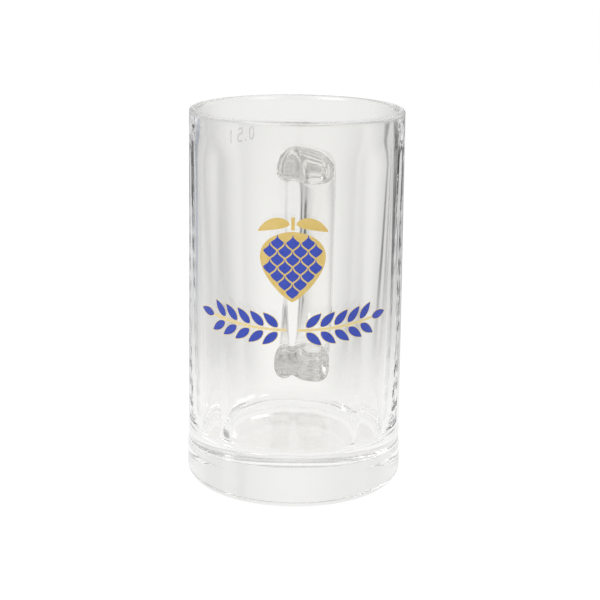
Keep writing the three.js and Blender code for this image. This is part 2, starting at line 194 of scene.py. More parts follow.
def fluted_bowl_tree():
    tree, given = new_tree("turn and flute a half section", {
        "Steps Around": "Int", "Flutes": "Int", "Turn": "Float", "Height": "Float", "Rim Radius": "Float",
        "Foot Radius": "Float", "Rim Wall": "Float", "Floor Start": "Float", "Wall at Arches": "Float",
        "Wall at Floor": "Float", "Ridge at Arches": "Float", "Ridge at Floor": "Float",
        "Ridge Growth": "Float", "Rim Band": "Float", "Arch Depth": "Float", "Ridge Spread": "Float",
        "Ridge Softness": "Float", "Glass": "Material"})

    def maths(operation, *values):
        return calc(tree, operation, *values)

    def blend(low, high, share):
        return maths("MULTIPLY_ADD", share, maths("SUBTRACT", high, low), low)

    # The sheet's columns go round the axis and its rows along the half section.
    size = node(tree, "GeometryNodeAttributeDomainSize", given["Geometry"], component="MESH")
    rows = size.outputs["Point Count"]
    columns = maths("ADD", given["Steps Around"], 1.0)
    sheet = node(tree, "GeometryNodeMeshGrid", 1.0, 1.0, columns, rows).outputs["Mesh"]
    index = node(tree, "GeometryNodeInputIndex").outputs[0]
    column = maths("FLOOR", maths("DIVIDE", maths("ADD", index, 0.5), rows))
    row = maths("SUBTRACT", index, maths("MULTIPLY", column, rows))

    def of_row(field, kind):
        taken = node(tree, "GeometryNodeSampleIndex", data_type=kind, domain="POINT")
        for label, source in (("Geometry", given["Geometry"]), ("Value", field), ("Index", row)):
            tree.links.new(source, taken.inputs[label])
        return taken.outputs["Value"]

    def named(label):
        return node(tree, "GeometryNodeInputNamedAttribute", label, data_type="FLOAT").outputs["Attribute"]

    place = split(tree, of_row(position(tree), "FLOAT_VECTOR"))
    radius, z = place["X"], place["Z"]
    bore, inset, share = [of_row(named(label), "FLOAT") for label in ("bore", "inset", "share")]

    # Angle within one flute, from its middle, with the ridge between two flutes rounded off.
    around = maths("DIVIDE", maths("MULTIPLY", column, math.tau), given["Steps Around"])
    half = maths("DIVIDE", math.pi, given["Flutes"])
    in_flute = maths("FLOORED_MODULO", around, maths("MULTIPLY", half, 2.0))
    local = maths("ABSOLUTE", maths("SUBTRACT", in_flute, half))
    soft = given["Ridge Softness"]

    def rounded(distance):
        square = maths("MULTIPLY_ADD", distance, distance, maths("MULTIPLY", soft, soft))
        return maths("SUBTRACT", maths("SQRT", square), soft)

    from_ridge = maths("DIVIDE", rounded(maths("SUBTRACT", half, local)), rounded(half))
    flank = maths("MAXIMUM", maths("SUBTRACT", 1.0, maths("DIVIDE", from_ridge, given["Ridge Spread"])), 0.0)

    # The flute's middle is round like the wall, which thickens fast under the rim and slowly below.
    level = maths("MAXIMUM", z, given["Floor Start"])
    depth = maths("SUBTRACT", given["Height"], level)
    down = maths("DIVIDE", depth, maths("SUBTRACT", given["Height"], given["Floor Start"]))
    outside = blend(given["Foot Radius"], given["Rim Radius"], maths("DIVIDE", level, given["Height"]))
    still = maths("SUBTRACT", 1.0, maths("MINIMUM", maths("DIVIDE", depth, given["Arch Depth"]), 1.0))
    swell = maths("SUBTRACT", 1.0, maths("MULTIPLY", still, still))
    upper = blend(given["Rim Wall"], given["Wall at Arches"], swell)
    thickening = maths("SUBTRACT", given["Wall at Floor"], given["Wall at Arches"])
    wall = maths("MULTIPLY_ADD", down, thickening, upper)

    # The ridges between the flutes fade in below the rim, which leaves an arch over each flute.
    fade = eased(tree, depth, given["Rim Band"], given["Arch Depth"])
    deeper = maths("POWER", down, given["Ridge Growth"])
    proud = maths("MULTIPLY", fade, blend(given["Ridge at Arches"], given["Ridge at Floor"], deeper))
    ridge = maths("MULTIPLY", proud, maths("MULTIPLY", flank, flank))
    inside = maths("SUBTRACT", maths("SUBTRACT", outside, wall), ridge)
    bored = maths("MULTIPLY", maths("SUBTRACT", inside, inset), share)
    spot = at_bearing(tree, blend(radius, bored, bore), maths("ADD", around, given["Turn"]), z)
    turned = node(tree, "GeometryNodeSetPosition", sheet, None, spot).outputs[0]
    closed = node(tree, "GeometryNodeMergeByDistance", turned, None, weld_distance).outputs[0]
    smooth = node(tree, "GeometryNodeSetShadeSmooth", closed).outputs[0]
    real = node(tree, "GeometryNodeRealizeInstances", smooth).outputs[0]
    dressed = node(tree, "GeometryNodeSetMaterial", real, None, given["Glass"]).outputs[0]
    node(tree, "NodeGroupOutput", dressed)
    return tree


def placed(name, data):
    made = bpy.data.objects.new(name, data)
    bpy.context.scene.collection.objects.link(made)
    return made


def grown(name, mesh, tree, **inputs):
    """Object whose mesh is what the tree makes of the given mesh, with the inputs set by name."""
    made = placed(name, mesh)
    modifier = made.modifiers.new("tree", "NODES")
    modifier.node_group = tree
    for item in tree.interface.items_tree:
        if item.item_type == "SOCKET" and item.in_out == "INPUT" and item.name in inputs:
            modifier[item.identifier] = inputs[item.name]
    made.update_tag()
    evaluated = made.evaluated_get(bpy.context.evaluated_depsgraph_get())
    plain = bpy.data.meshes.new_from_object(evaluated)
    made.modifiers.remove(modifier)
    made.data = plain
    plain.name = name
    return made


glass_colour, glass_ior = (0.973, 0.970, 0.957, 1.0), 1.52
ripple = {"scale": 55.0, "stretch": (1.0, 1.0, 0.45), "strength": 0.05, "distance": 0.6 * mm}
handling_haze = {"scale": 38.0, "start": 0.45, "full": 0.8, "roughness": 0.035}
lip_haze = {"start": bowl_height - 3.0 * mm, "full": bowl_height - 1.2 * mm, "roughness": 0.25}
grip_haze = {"start": 50.0 * mm, "full": 66.0 * mm, "roughness": 0.07}


def new_material(name):
    """Material with its node tree and its shader."""
    material = bpy.data.materials.new(name)
    material.use_nodes = True
    return material, material.node_tree, material.node_tree.nodes["Principled BSDF"]


def noise(tree, where, scale, detail, roughness):
    return node(tree, "ShaderNodeTexNoise", where, scale, detail, roughness).outputs[0]


def raise_surface(tree, shader, strength, distance, height):
    bump = node(tree, "ShaderNodeBump", strength, distance, None, height)
    tree.links.new(bump.outputs["Normal"], shader.inputs["Normal"])


def pressed_glass():
    """Clear glass with the slow ripple that pressing leaves and some haze, most on the lip and the grip."""
    material, tree, shader = new_material("pressed glass")
    shader.inputs["Base Color"].default_value = glass_colour
    shader.inputs["IOR"].default_value = glass_ior
    shader.inputs["Transmission Weight"].default_value = 1.0
    where = node(tree, "ShaderNodeTexCoord").outputs["Object"]
    drawn_out = node(tree, "ShaderNodeMapping", where, None, None, ripple["stretch"]).outputs[0]
    wave = noise(tree, drawn_out, ripple["scale"], detail=1.5, roughness=0.45)
    raise_surface(tree, shader, ripple["strength"], ripple["distance"], wave)

    def hazed(value, haze):
        return mapped(tree, value, haze["start"], haze["full"], 0.0, haze["roughness"])

    spot = split(tree, where)
    cloud = noise(tree, where, handling_haze["scale"], detail=3.0, roughness=0.55)
    worn = calc(tree, "ADD", hazed(spot["Z"], lip_haze), hazed(spot["Y"], grip_haze))
    rough = calc(tree, "ADD", hazed(cloud, handling_haze), worn)
    tree.links.new(rough, shader.inputs["Roughness"])
    return material


glass = pressed_glass()
bowl = grown("glass_bowl_pressed", half_section("bowl half section"), fluted_bowl_tree(), **{
    "Steps Around": flute_count * steps_per_flute, "Flutes": flute_count, "Turn": flute_turn,
    "Height": bowl_height, "Rim Radius": rim_radius, "Foot Radius": wall_foot_radius, "Rim Wall": rim_wall,
    "Floor Start": floor_start, "Wall at Arches": wall_at_arches, "Wall at Floor": wall_at_floor,
    "Ridge at Arches": ridge_height["arches"], "Ridge at Floor": ridge_height["floor"],
    "Ridge Growth": ridge_growth, "Rim Band": rim_band, "Arch Depth": arch_depth,
    "Ridge Spread": ridge_spread, "Ridge Softness": ridge_softness, "Glass": glass})
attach(bowl, "root")
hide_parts("glass_bowl")


# Handle. An ear of the same glass, pressed together with the bowl: a rounded oblong bar that slopes down
# a little from the wall, bends through two elbows and runs level into the wall again above the base.
# Its roots spread a little where the glass flows into the wall.
handle_width = 22.5 * mm
handle_thickness = {"top": 11.5 * mm, "grip": 12.0 * mm, "bottom": 15.5 * mm}
thickness_run = 0.3
arm_height = {"top": 119.5 * mm, "bottom": 34.5 * mm}
top_arm_slope = math.radians(10.0)
finger_gap = 28.0 * mm
elbow_radius = 19.0 * mm
root_flare, root_flare_length, root_sink = 0.8 * mm, 8.0 * mm, 0.3 * mm
root_rings = (0.75, 0.5, 0.25)
section_roundness = 2.6
handle_sides = 96
handle_steps = {"arm": 16, "elbow": 48, "grip": 22}


def handle_line():
    """Centre line stations: distance from the axis, height, direction and length run so far."""
    grip = wall_foot_radius + finger_gap + handle_thickness["grip"] / 2
    bend = grip - elbow_radius
    top, bottom = arm_height["top"], arm_height["bottom"]
    start, end = wall_radius(top) - root_sink, wall_radius(bottom) - root_sink
    fall, run_out = math.sin(top_arm_slope), math.cos(top_arm_slope)
    bend_y = bend + elbow_radius * fall
    bend_z = top - (bend_y - start) * math.tan(top_arm_slope)
    upper, lower = bend_z - elbow_radius * run_out, bottom + elbow_radius
    line = []
    for share in spread(0.0, 1.0, handle_steps["arm"])[:-1]:
        line.append((start + (bend_y - start) * share, top + (bend_z - top) * share, run_out, -fall))
    for turn in spread(math.pi / 2 - top_arm_slope, 0.0, handle_steps["elbow"])[:-1]:
        out, up = math.cos(turn), math.sin(turn)
        line.append((bend + elbow_radius * out, upper + elbow_radius * up, up, -out))
    line += [(grip, z, 0.0, -1.0) for z in spread(upper, lower, handle_steps["grip"])[:-1]]
    for turn in spread(0.0, math.pi / 2, handle_steps["elbow"])[:-1]:
        out, down = math.cos(turn), math.sin(turn)
        line.append((bend + elbow_radius * out, bottom + elbow_radius * (1.0 - down), -down, -out))
    line += [(y, bottom, -1.0, 0.0) for y in spread(bend, end, handle_steps["arm"])]
    run = [0.0]
    for here, after in zip(line, line[1:]):
        run.append(run[-1] + math.hypot(after[0] - here[0], after[1] - here[1]))
    return [(*station, length) for station, length in zip(line, run)]


def oblong(side):
    turn = math.tau * side / handle_sides
    power = 2.0 / section_roundness
    across, through = math.cos(turn), math.sin(turn)
    return math.copysign(abs(across) ** power, across), math.copysign(abs(through) ** power, through)


def in_wall(x, z):
    """How far back the wall lies at a place on the handle's end, which sinks into it a little."""
    return math.sqrt((wall_radius(z) - root_sink) ** 2 - x ** 2)


def handle_rings():
    line = handle_line()
    total = line[-1][4]
    outline = [oblong(side) for side in range(handle_sides)]
    rings = []
    for place, (y, z, ty, tz, run) in enumerate(line):
        share = run / total
        arm = handle_thickness["top"] if share < 0.5 else handle_thickness["bottom"]
        taper = smooth_step(0.0, thickness_run, min(share, 1.0 - share))
        thickness = arm + (handle_thickness["grip"] - arm) * taper
        flare = root_flare * (1.0 - smooth_step(0.0, root_flare_length, min(run, total - run)))
        wide, deep = handle_width / 2 + flare, thickness / 2 + flare
        ring = [Vector((wide * a, y + tz * deep * b, z - ty * deep * b)) for a, b in outline]
        if place in (0, len(line) - 1):
            for point in ring:
                point.y = in_wall(point.x, point.z)
        rings.append(ring)
    return rings


def lofted(name, rings):
    """Closed mesh through rings of equal count; each end is filled with rings that shrink on the wall."""
    form = bmesh.new()
    count = len(rings[0])

    def band(here, after):
        for i in range(count):
            k = (i + 1) % count
            form.faces.new((here[i], here[k], after[k], after[i]))

    loops = [[form.verts.new(point) for point in ring] for ring in rings]
    for here, after in zip(loops, loops[1:]):
        band(here, after)
    for loop in (loops[0], loops[-1]):
        edge = loop
        heart = sum(vert.co.z for vert in loop) / count
        for scale in root_rings:
            inner = []
            for vert in loop:
                x, z = vert.co.x * scale, heart + (vert.co.z - heart) * scale
                inner.append(form.verts.new((x, in_wall(x, z), z)))
            band(edge, inner)
            edge = inner
        middle = form.verts.new((0.0, in_wall(0.0, heart), heart))
        for i in range(count):
            form.faces.new((edge[i], edge[(i + 1) % count], middle))
    bmesh.ops.recalc_face_normals(form, faces=form.faces)
    mesh = bpy.data.meshes.new(name)
    form.to_mesh(mesh)
    form.free()
    mesh.shade_smooth()
    return placed(name, mesh)


handle = lofted("handle_pressed", handle_rings())
handle.data.materials.append(glass)
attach(handle, "root")
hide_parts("handle")


# Hop cone in gold. Screen-printed enamel, fired on after pressing: the gold colour goes on first, as
# the ground of the cone with its stalk and two leaves. It is a few hundredths of a millimetre thick
# and fused to the glass, so its back shows through the wall.
print_turn = math.radians(6.0)
cone_height, cone_width, cone_widest = 27.0 * mm, 25.0 * mm, 0.36
cone_tip = 84.0 * mm
cone_top = cone_tip + cone_height
stalk_length, stalk_width = 5.0 * mm, 1.4 * mm
leaf_length, leaf_width, leaf_droop, leaf_widest = 12.0 * mm, 4.4 * mm, 3.0 * mm, 0.4
leaf_fullness, vein_steps = 0.75, 32
leaf_gap = 0.6 * mm
blunt_end = 0.3 * mm
gold_under, gold_over = -0.03 * mm, 0.04 * mm
sheet_rise = 1.0 * mm
print_inputs = {
    "Turn": "Float", "Under": "Float", "Over": "Float", "Rim Radius": "Float", "Foot Radius": "Float",
    "Height": "Float", "Ink": "Material"}
wall_sizes = {"Rim Radius": rim_radius, "Foot Radius": wall_foot_radius, "Height": bowl_height}


def join(tree, *parts):
    """Join geometries; the first to be linked is the last in order, so the links run backwards."""
    made = tree.nodes.new("GeometryNodeJoinGeometry")
    for part in reversed(parts):
        tree.links.new(part, made.inputs[0])
    return made.outputs[0]


def group(tree, inner, **values):
    """Place a node group in a tree and feed its inputs by name."""
    kind = "GeometryNodeGroup" if tree.bl_idname == "GeometryNodeTree" else "ShaderNodeGroup"
    made = tree.nodes.new(kind)
    made.node_tree = inner
    for label, value in values.items():
        feed(tree, made.inputs[label.replace("_", " ")], value)
    return made.outputs


def lay_on_wall_tree():
    """Gives a flat sheet its thickness and wraps it round the bowl. In the sheet, X runs round the wall
    from the motif's middle and Y is the height."""
    tree, given = new_tree("lay on the wall", print_inputs)
    up = (0.0, 0.0, 1.0)
    back = node(tree, "GeometryNodeFlipFaces", given["Geometry"]).outputs[0]
    front = node(tree, "GeometryNodeExtrudeMesh", given["Geometry"], None, up, sheet_rise, False).outputs[0]
    both = join(tree, back, front)
    plate = node(tree, "GeometryNodeMergeByDistance", both, None, weld_distance).outputs[0]
    spot = split(tree, position(tree))
    lean = calc(tree, "SUBTRACT", given["Rim Radius"], given["Foot Radius"])
    slope = calc(tree, "DIVIDE", lean, given["Height"])
    wall = calc(tree, "MULTIPLY_ADD", spot["Y"], slope, given["Foot Radius"])
    lift = mapped(tree, spot["Z"], 0.0, sheet_rise, given["Under"], given["Over"])
    bearing = calc(tree, "ADD", given["Turn"], calc(tree, "DIVIDE", spot["X"], given["Rim Radius"]))
    wrap = at_bearing(tree, calc(tree, "ADD", wall, lift), bearing, spot["Y"])
    wrapped = node(tree, "GeometryNodeSetPosition", plate, None, wrap).outputs[0]
    flat = node(tree, "GeometryNodeSetShadeSmooth", wrapped, None, False).outputs[0]
    node(tree, "NodeGroupOutput", node(tree, "GeometryNodeSetMaterial", flat, None, given["Ink"]).outputs[0])
    return tree


def line_between(tree, start, end):
    return node(tree, "GeometryNodeCurvePrimitiveLine", start, end).outputs[0]


def along(tree, curve, share):
    """Position and tangent of a curve at a share of its length."""
    taken = node(tree, "GeometryNodeSampleCurve", mode="FACTOR")
    feed(tree, taken.inputs["Curves"], curve)
    feed(tree, taken.inputs["Factor"], share)
    return taken.outputs


def leftward(tree, tangent):
    part = split(tree, tangent)
    return combine(tree, calc(tree, "MULTIPLY", part["Y"], -1.0), part["X"], 0.0)


def scaled(tree, vector, amount):
    return node(tree, "ShaderNodeVectorMath", vector, amount, operation="SCALE").outputs[0]


def added(tree, one, other):
    return node(tree, "ShaderNodeVectorMath", one, other, operation="ADD").outputs[0]


def blade_tree(name, swell):
    """Flat sheet along a curve, whose width at each share of the length follows a rule."""
    tree, given = new_tree(name, {
        "Steps Along": "Int", "Steps Across": "Int", "Width": "Float", "Widest": "Float",
        "Blunt End": "Float"})
    grid = node(tree, "GeometryNodeMeshGrid", 1.0, 2.0, given["Steps Along"], given["Steps Across"])
    spot = split(tree, position(tree))
    evenly = calc(tree, "ADD", spot["X"], 0.5)
    turn = calc(tree, "COSINE", calc(tree, "MULTIPLY", evenly, math.pi))
    share = calc(tree, "MULTIPLY_ADD", turn, -0.5, 0.5)
    here = along(tree, given["Geometry"], share)
    wide = calc(tree, "MULTIPLY", given["Width"], swell(tree, share, given["Widest"]))
    half = calc(tree, "MULTIPLY", calc(tree, "MAXIMUM", wide, given["Blunt End"]), 0.5)
    aside = scaled(tree, leftward(tree, here["Tangent"]), calc(tree, "MULTIPLY", spot["Y"], half))
    place = added(tree, here["Position"], aside)
    shaped = node(tree, "GeometryNodeSetPosition", grid.outputs["Mesh"], None, place).outputs[0]
    node(tree, "NodeGroupOutput", shaped)
    return tree


def leaf_swell(tree, share, widest):
    bend = calc(tree, "DIVIDE", math.log(0.5), calc(tree, "LOGARITHM", widest, math.e))
    bow = calc(tree, "SINE", calc(tree, "MULTIPLY", calc(tree, "POWER", share, bend), math.pi))
    return calc(tree, "POWER", calc(tree, "MAXIMUM", bow, 0.0), leaf_fullness)


def even_swell(tree, share, widest):
    return 1.0


lay_on_wall = lay_on_wall_tree()
leaf_blade = blade_tree("leaf blade", leaf_swell)
even_blade = blade_tree("even blade", even_swell)


def laid(tree, given, sheet):
    """Ends a print tree: the joined sheets are made real, laid on the wall and given their colour."""
    real = node(tree, "GeometryNodeRealizeInstances", sheet).outputs[0]
    passed_on = {label: given[label] for label in print_inputs}
    node(tree, "NodeGroupOutput", group(tree, lay_on_wall, Geometry=real, **passed_on)[0])


def hop_gold_tree():
    tree, given = new_tree("hop ground, stalk and leaves", {
        "Cone Tip": "Vector", "Cone Top": "Vector", "Cone Width": "Float", "Cone Widest": "Float",
        "Stalk Foot": "Vector", "Stalk Top": "Vector", "Stalk Width": "Float", "Leaf Root": "Vector",
        "Leaf Middle": "Vector", "Leaf Tip": "Vector", "Leaf Width": "Float", "Leaf Widest": "Float",
        "Blunt End": "Float", **print_inputs})
    spine = line_between(tree, given["Cone Top"], given["Cone Tip"])
    ground = group(tree, leaf_blade, Geometry=spine, Steps_Along=48, Steps_Across=17,
                   Width=given["Cone Width"], Widest=given["Cone Widest"], Blunt_End=given["Blunt End"])[0]
    stem = line_between(tree, given["Stalk Foot"], given["Stalk Top"])
    stalk = group(tree, even_blade, Geometry=stem, Steps_Along=8, Steps_Across=3,
                  Width=given["Stalk Width"])[0]
    leaves = []
    for side in (-1.0, 1.0):
        mirror = (side, 1.0, 1.0)
        points = [node(tree, "ShaderNodeVectorMath", given[label], mirror, operation="MULTIPLY").outputs[0]
                  for label in ("Leaf Root", "Leaf Middle", "Leaf Tip")]
        vein = node(tree, "GeometryNodeCurveQuadraticBezier", vein_steps, *points).outputs[0]
        leaves.append(group(tree, leaf_blade, Geometry=vein, Steps_Along=28, Steps_Across=5,
                            Width=given["Leaf Width"], Widest=given["Leaf Widest"],
                            Blunt_End=given["Blunt End"])[0])
    laid(tree, given, join(tree, ground, stalk, *leaves))
    return tree


def mix_colours(tree, share, first, second):
    """Mix two colours, each a colour or the socket that feeds it."""
    made = node(tree, "ShaderNodeMix", share, data_type="RGBA")
    sockets = [socket for socket in made.inputs if socket.type == "RGBA"]
    for socket, colour in zip(sockets, (first, second)):
        feed(tree, socket, colour)
    return next(socket for socket in made.outputs if socket.type == "RGBA")


print_cloud = {"scale": 260.0, "start": 0.45, "full": 0.95}
print_speck = {"scale": 2600.0, "share": 0.35}
print_gloss_change = 0.2
print_grain = {"strength": 0.15, "distance": 0.05 * mm}


def fired_print_group():
    """Screen-printed enamel: where the colour lies thinner, how its gloss changes and its fine grain."""
    tree, given = new_group(
        "fired print", "ShaderNodeTree",
        {"Colour": "Color", "Thin Colour": "Color", "Mottle": "Float", "Roughness": "Float"},
        {"Colour": "Color", "Roughness": "Float", "Height": "Float"})
    where = node(tree, "ShaderNodeTexCoord").outputs["Object"]
    cloud = noise(tree, where, print_cloud["scale"], detail=4.0, roughness=0.6)
    speck = noise(tree, where, print_speck["scale"], detail=2.0, roughness=0.5)
    patchy = calc(tree, "MULTIPLY_ADD", speck, print_speck["share"], cloud)
    thin = mapped(tree, patchy, print_cloud["start"], print_cloud["full"])
    amount = calc(tree, "MULTIPLY", thin, given["Mottle"])
    colour = mix_colours(tree, amount, given["Colour"], given["Thin Colour"])
    from_middle = calc(tree, "SUBTRACT", thin, 0.5)
    rough = calc(tree, "MULTIPLY_ADD", from_middle, print_gloss_change, given["Roughness"])
    node(tree, "NodeGroupOutput", colour, rough, speck)
    return tree


fired_print = fired_print_group()


def inked(tree, shader, colour, thin_colour, mottle, roughness):
    """Feed a shader's colour and roughness from the fired print; gives the print's sockets."""
    ink = group(tree, fired_print, Colour=(*colour, 1.0), Thin_Colour=(*thin_colour, 1.0), Mottle=mottle,
                Roughness=roughness)
    tree.links.new(ink["Colour"], shader.inputs["Base Color"])
    tree.links.new(ink["Roughness"], shader.inputs["Roughness"])
    return ink


def enamel(name, colour, thin_colour, mottle, roughness):
    material, tree, shader = new_material(name)
    ink = inked(tree, shader, colour, thin_colour, mottle, roughness)
    raise_surface(tree, shader, print_grain["strength"], print_grain["distance"], ink["Height"])
    return material


gold = enamel("gold enamel", (0.62, 0.44, 0.12), (0.74, 0.58, 0.24), mottle=0.6, roughness=0.36)
stalk_foot = Vector((0.0, cone_top + leaf_gap, 0.0))
leaf_root = stalk_foot + Vector((stalk_width / 2 + leaf_gap, leaf_width / 2, 0.0))
hop_gold = grown("hop_gold_print", bpy.data.meshes.new("hop seed"), hop_gold_tree(), **{
    "Cone Tip": (0.0, cone_tip, 0.0), "Cone Top": (0.0, cone_top, 0.0), "Cone Width": cone_width,
    "Cone Widest": cone_widest, "Stalk Foot": stalk_foot,
    "Stalk Top": stalk_foot + Vector((0.0, stalk_length, 0.0)), "Stalk Width": stalk_width,
    "Leaf Root": leaf_root, "Leaf Middle": leaf_root + Vector((leaf_length / 2, leaf_droop / 2, 0.0)),
    "Leaf Tip": leaf_root + Vector((leaf_length, -leaf_droop, 0.0)), "Leaf Width": leaf_width,
    "Leaf Widest": leaf_widest, "Blunt End": blunt_end, "Turn": print_turn, "Under": gold_under,
    "Over": gold_over, "Ink": gold, **wall_sizes})
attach(hop_gold, "root")
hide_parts("hop_cone_ground", "hop_stalk", "hop_leaf_left", "hop_leaf_right")


# Hop bracts in blue. The second colour of the same print: rows of pointed scales that interlock like
# the bracts of a ripe cone, laid over the gold ground so that gold shows between them.
bract_rows = (3, 4, 3, 4, 3, 2, 1)
cone_margin, bract_gap = 0.9 * mm, 0.9 * mm
bract_widest = 0.5
blue_under, blue_over = -0.05 * mm, 0.07 * mm
row_pitch = (cone_height - 2 * cone_margin) / (len(bract_rows) + 1)
bract_pitch = (cone_width - 2 * cone_margin) / max(bract_rows)


def bract_swell(tree, share, widest):
    upper = calc(tree, "SUBTRACT", 1.0, calc(tree, "COSINE", calc(tree, "MULTIPLY", share, math.pi)))
    from_widest = calc(tree, "SUBTRACT", share, widest)
    lower = calc(tree, "COSINE", calc(tree, "MULTIPLY", from_widest, math.pi))
    return calc(tree, "MINIMUM", upper, lower)


def bracts_tree():
    tree, given = new_tree("bracts on points", {
        "Reach": "Float", "Width": "Float", "Blunt End": "Float", **print_inputs})
    up = combine(tree, 0.0, given["Reach"], 0.0)
    spine = line_between(tree, up, scaled(tree, up, -1.0))
    bract_blade = blade_tree("bract blade", bract_swell)
    bract = group(tree, bract_blade, Geometry=spine, Steps_Along=25, Steps_Across=5, Width=given["Width"],
                  Widest=bract_widest, Blunt_End=given["Blunt End"])[0]
    points = node(tree, "GeometryNodeMeshToPoints", given["Geometry"]).outputs[0]
    laid(tree, given, node(tree, "GeometryNodeInstanceOnPoints", points, None, bract).outputs[0])
    return tree


blue = enamel("blue enamel", (0.022, 0.05, 0.38), (0.05, 0.095, 0.50), mottle=0.55, roughness=0.34)
bract_places = []
for row, count in enumerate(bract_rows):
    row_height = cone_top - cone_margin - (row + 1) * row_pitch
    bract_places += [((place - (count - 1) / 2) * bract_pitch, row_height, 0.0) for place in range(count)]
bract_points = bpy.data.meshes.new("bract places")
bract_points.from_pydata(bract_places, [], [])
bracts = grown("hop_bracts_print", bract_points, bracts_tree(), **{
    "Reach": row_pitch - bract_gap / 2, "Width": bract_pitch - bract_gap, "Blunt End": blunt_end,
    "Turn": print_turn, "Under": blue_under, "Over": blue_over, "Ink": blue, **wall_sizes})
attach(bracts, "root")
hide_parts(*(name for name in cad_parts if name.startswith("hop_bract_")))


# Barley ears, one to each side below the cone. Gold goes on first, as a stem and a keyline round every
# grain; the blue grains follow, in pairs up the stem with one at its tip. Same two-colour print.
ear_height, ear_length, ear_rise, ear_inner_gap = 73.0 * mm, 39.0 * mm, 2.5 * mm, 2.0 * mm
stem_width = 1.0 * mm
grain_pairs, grain_length, grain_gap, first_grain = 5, 7.4 * mm, 0.5 * mm, 3.5 * mm
grain_angle, grain_widest = math.radians(42.0), 0.42
keyline = 0.3 * mm
stem_length = ear_length - grain_length - grain_gap
stem_steps = 48
grain_pitch = (stem_length - first_grain) / grain_pairs


def ear_tree():
    tree, given = new_tree("ear of grains along a stem", {
        "Stem Start": "Vector", "Stem Middle": "Vector", "Stem End": "Vector", "Stem Width": "Float",
        "Side": "Float", "Pairs": "Int", "First": "Float", "Last": "Float", "Grain Length": "Float",
        "Grain Width": "Float", "Grain Widest": "Float", "Grain Angle": "Float", "Root Gap": "Float",
        "Tip Gap": "Float", "Keyline": "Float", "Blunt End": "Float", "With Stem": "Bool", **print_inputs})
    ends = [given[label] for label in ("Stem Start", "Stem Middle", "Stem End")]
    spine = node(tree, "GeometryNodeCurveQuadraticBezier", stem_steps, *ends).outputs[0]
    edge = given["Keyline"]
    foot = combine(tree, calc(tree, "MULTIPLY", edge, -1.0), 0.0, 0.0)
    head = combine(tree, calc(tree, "ADD", given["Grain Length"], edge), 0.0, 0.0)
    wide = calc(tree, "MULTIPLY_ADD", edge, 2.0, given["Grain Width"])
    blunt = calc(tree, "MULTIPLY_ADD", edge, 2.0, given["Blunt End"])
    grain = group(tree, leaf_blade, Geometry=line_between(tree, foot, head), Steps_Along=25, Steps_Across=5,
                  Width=wide, Widest=given["Grain Widest"], Blunt_End=blunt)[0]

    def grains_at(points, tangent, turn):
        part = split(tree, tangent)
        bearing = calc(tree, "ADD", calc(tree, "ARCTAN2", part["Y"], part["X"]), turn)
        lean = combine(tree, 0.0, 0.0, bearing)
        return node(tree, "GeometryNodeInstanceOnPoints", points, None, grain, None, None, lean).outputs[0]

    run = node(tree, "GeometryNodeTrimCurve", spine, None, given["First"], given["Last"]).outputs[0]
    stations = node(tree, "GeometryNodeCurveToPoints", run, given["Pairs"]).outputs
    sheets = []
    for up in (1.0, -1.0):
        way = calc(tree, "MULTIPLY", given["Side"], up)
        off_stem = calc(tree, "MULTIPLY", way, given["Root Gap"])
        shift = scaled(tree, leftward(tree, stations["Tangent"]), off_stem)
        roots = node(tree, "GeometryNodeSetPosition", stations["Points"], None, None, shift).outputs[0]
        turn = calc(tree, "MULTIPLY", way, given["Grain Angle"])
        sheets.append(grains_at(roots, stations["Tangent"], turn))
    last = along(tree, spine, 1.0)
    tip = added(tree, last["Position"], scaled(tree, last["Tangent"], given["Tip Gap"]))
    sheets.append(grains_at(node(tree, "GeometryNodePoints", 1, tip).outputs[0], last["Tangent"], 0.0))
    stem = group(tree, even_blade, Geometry=spine, Steps_Along=stem_steps, Steps_Across=3,
                 Width=given["Stem Width"])[0]
    shown = node(tree, "GeometryNodeSwitch", given["With Stem"], None, stem, input_type="GEOMETRY").outputs[0]
    laid(tree, given, join(tree, shown, *sheets))
    return tree


ear = ear_tree()
cream = enamel("pale gold enamel", (0.74, 0.58, 0.24), (0.82, 0.70, 0.40), mottle=0.6, roughness=0.38)
for side, sign in (("left", -1.0), ("right", 1.0)):
    stem_start = Vector((sign * ear_inner_gap, ear_height, 0.0))
    ear_sizes = {
        "Stem Start": stem_start, "Stem Middle": stem_start + Vector((sign * stem_length / 2, 0.0, 0.0)),
        "Stem End": stem_start + Vector((sign * stem_length, ear_rise, 0.0)), "Stem Width": stem_width,
        "Side": sign, "Pairs": grain_pairs, "First": first_grain / stem_length,
        "Last": 1.0 - grain_pitch / stem_length, "Grain Length": grain_length,
        "Grain Width": grain_pitch * math.sin(grain_angle) - grain_gap, "Grain Widest": grain_widest,
        "Grain Angle": grain_angle, "Root Gap": stem_width / 2 + grain_gap + blunt_end / 2,
        "Tip Gap": grain_gap, "Blunt End": blunt_end, "Turn": print_turn, **wall_sizes}
    gold_ear = grown(f"barley_gold_{side}_print", bpy.data.meshes.new("ear seed"), ear, **ear_sizes, **{
        "Keyline": keyline, "With Stem": True, "Under": gold_under, "Over": gold_over, "Ink": cream})
    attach(gold_ear, "root")
    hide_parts(f"barley_stem_{side}")
    grains = grown(f"barley_grains_{side}_print", bpy.data.meshes.new("grain seed"), ear, **ear_sizes, **{
        "Keyline": 0.0, "With Stem": False, "Under": blue_under, "Over": blue_over, "Ink": blue})
    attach(grains, "root")
    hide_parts(*(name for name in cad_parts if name.startswith(f"barley_grain_{side}_")))


